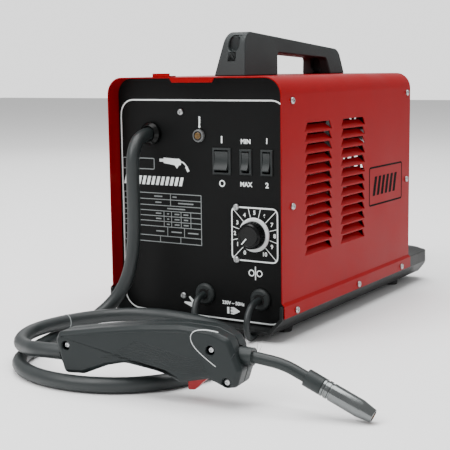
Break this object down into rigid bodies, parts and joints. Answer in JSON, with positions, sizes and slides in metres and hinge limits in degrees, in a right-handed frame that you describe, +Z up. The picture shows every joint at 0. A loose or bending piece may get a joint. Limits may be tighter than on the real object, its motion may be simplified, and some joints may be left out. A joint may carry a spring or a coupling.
{
  "type": "wire feed welding machine",
  "caption": "Compact wire-feed welding machine in a wraparound sheet steel case with louvred side, dial and rocker switches, carrying handle, swan-neck torch, earth clamp and mains lead.",
  "frame": {"origin": "on the floor, under the middle of the box round the machine and its torch", "axes": "+Z up, the front panel faces -Y, +X to the right when looking at the front panel"},
  "size_m": [0.5806, 0.9147, 0.3557],
  "materials": {
    "black_coat": "fine textured black powder coat",
    "panel_black": "satin black coat",
    "red_coat": "semi-gloss red powder coat",
    "rubber": "matt black rubber",
    "zinc": "zinc plated steel",
    "plated_screw": "nickel plated screws",
    "knob_ring": "bright turned ring",
    "trigger_red": "red moulded plastic",
    "black_plastic": "moulded black plastic",
    "rocker_black": "polished black plastic",
    "handle_plastic": "grained charcoal plastic",
    "grey_plastic": "grey plastic",
    "amber_lens": "amber lens",
    "dial_face": "black plate with white figures",
    "knob_plastic": "ribbed black plastic",
    "core_steel": "varnished steel laminations",
    "copper_enamel": "enamelled copper",
    "heat_sink": "extruded aluminium",
    "fan_plastic": "black glass-filled plastic",
    "circuit_green": "green circuit board",
    "feed_cast": "cast aluminium",
    "motor_steel": "plated motor can",
    "turned_steel": "turned steel",
    "spool_plastic": "black spool plastic",
    "copper_wire": "copper coated wire",
    "brass": "turned brass",
    "torch_plastic": "grained charcoal plastic",
    "neck_sleeve": "black insulating sleeve",
    "nozzle_chrome": "bright plated copper",
    "lead_rubber": "charcoal rubber sheath"
  },
  "bodies": {
    "machine": {"base_tray": "black_coat", "rubber_feet": "rubber", "front_panel": "panel_black", "rear_panel": "panel_black", "wraparound_cover": "red_coat", "door_hinges": "zinc", "top_bracket": "red_coat", "case_screws": "plated_screw", "divider_plate": "zinc", "carry_handle": "handle_plastic", "handle_bolts": "zinc", "torch_inlet_bush": "black_plastic", "earth_lead_gland": "black_plastic", "mains_lead_gland": "black_plastic", "switch_bodies": "black_plastic", "lamp_bezel": "grey_plastic", "lamp_lens": "amber_lens", "dial_plate": "dial_face", "potentiometer": "zinc", "transformer_core": "core_steel", "transformer_windings": "copper_enamel", "rectifier": "heat_sink", "choke": "copper_enamel", "fan_frame": "fan_plastic", "fan_motor": "zinc", "control_board": "circuit_green", "feed_plate": "feed_cast", "feed_motor": "motor_steel", "spool_hub": "fan_plastic", "gas_inlet": "brass", "torch_shell_near": "torch_plastic", "torch_shell_far": "torch_plastic", "torch_fasteners": "zinc", "swan_neck": "neck_sleeve", "nozzle_insulator": "neck_sleeve", "gas_nozzle": "nozzle_chrome", "contact_tip": "copper_wire", "torch_lead": "lead_rubber", "earth_lead": "lead_rubber", "mains_lead": "lead_rubber", "earth_lead_coil": "lead_rubber", "mains_lead_coil": "lead_rubber", "mains_plug": "black_plastic", "clamp_lower_jaw": "zinc"},
    "door": {"side_door": "red_coat"},
    "latch": {"door_latch": "black_plastic"},
    "main_switch": {"main_rocker": "rocker_black"},
    "power_switch": {"power_rocker": "rocker_black"},
    "range_switch": {"range_rocker": "rocker_black"},
    "knob": {"speed_knob": "knob_plastic", "knob_skirt": "knob_ring"},
    "fan": {"fan_rotor": "fan_plastic"},
    "lower_roll": {"drive_roll": "turned_steel"},
    "arm": {"pressure_arm": "feed_cast"},
    "upper_roll": {"pressure_roll": "turned_steel"},
    "tension": {"tension_screw": "black_plastic"},
    "spool": {"wire_spool": "spool_plastic", "spool_wire": "copper_wire"},
    "trigger": {"torch_trigger": "trigger_red"},
    "clamp_jaw": {"clamp_upper_jaw": "zinc"}
  },
  "joints": [
    {"name": "door_swing", "type": "hinge", "parent": "machine", "child": "door", "pos_m": [-0.2189, 0.2428, 0.164], "axis": [0, 0, -1], "range_deg": [0, 115]},
    {"name": "latch_turn", "type": "hinge", "parent": "door", "child": "latch", "pos_m": [-0.215, -0.028, 0.164], "axis": [1, 0, 0], "range_deg": [0, 90]},
    {"name": "main_switch_rock", "type": "hinge", "parent": "machine", "child": "main_switch", "pos_m": [-0.0652, -0.0779, 0.2045], "axis": [1, 0, 0], "range_deg": [0, 20]},
    {"name": "power_switch_rock", "type": "hinge", "parent": "machine", "child": "power_switch", "pos_m": [-0.0328, -0.0779, 0.2045], "axis": [1, 0, 0], "range_deg": [0, 20]},
    {"name": "range_switch_rock", "type": "hinge", "parent": "machine", "child": "range_switch", "pos_m": [-0.005, -0.0779, 0.2045], "axis": [1, 0, 0], "range_deg": [0, 20]},
    {"name": "speed_turn", "type": "hinge", "parent": "machine", "child": "knob", "pos_m": [-0.0215, -0.081, 0.121], "axis": [0, 1, 0], "range_deg": [-12, 288]},
    {"name": "fan_spin", "type": "hinge", "parent": "machine", "child": "fan", "pos_m": [-0.043, 0.244, 0.215], "axis": [0, 1, 0], "continuous": true},
    {"name": "drive_spin", "type": "hinge", "parent": "machine", "child": "lower_roll", "pos_m": [-0.1645, -0.006, 0.21935], "axis": [1, 0, 0], "continuous": true},
    {"name": "arm_lift", "type": "hinge", "parent": "machine", "child": "arm", "pos_m": [-0.1645, -0.038, 0.24625], "axis": [1, 0, 0], "range_deg": [0, 3], "stiffness_Nm_per_rad": 2, "springref_deg": -2.86},
    {"name": "pressure_spin", "type": "hinge", "parent": "arm", "child": "upper_roll", "pos_m": [-0.1645, -0.006, 0.24625], "axis": [1, 0, 0], "continuous": true},
    {"name": "tension_swing", "type": "hinge", "parent": "machine", "child": "tension", "pos_m": [-0.1645, 0.02, 0.2418], "axis": [-1, 0, 0], "range_deg": [0, 50]},
    {"name": "spool_spin", "type": "hinge", "parent": "machine", "child": "spool", "pos_m": [-0.167, 0.144, 0.15], "axis": [1, 0, 0], "continuous": true},
    {"name": "trigger_pull", "type": "hinge", "parent": "machine", "child": "trigger", "pos_m": [0.06448, -0.31502, 0.035], "axis": [-0.1149, 0.9934, 0], "range_deg": [0, 7], "stiffness_Nm_per_rad": 0.3, "springref_deg": -2.86},
    {"name": "clamp_open", "type": "hinge", "parent": "machine", "child": "clamp_jaw", "pos_m": [-0.309, 0.538, 0.0124], "axis": [0, 0, -1], "range_deg": [0, 11], "stiffness_Nm_per_rad": 3, "springref_deg": -5.73}
  ],
  "couplings": [
    {"joint": "pressure_spin", "follows": "drive_spin", "ratio": -1.3636}
  ]
}
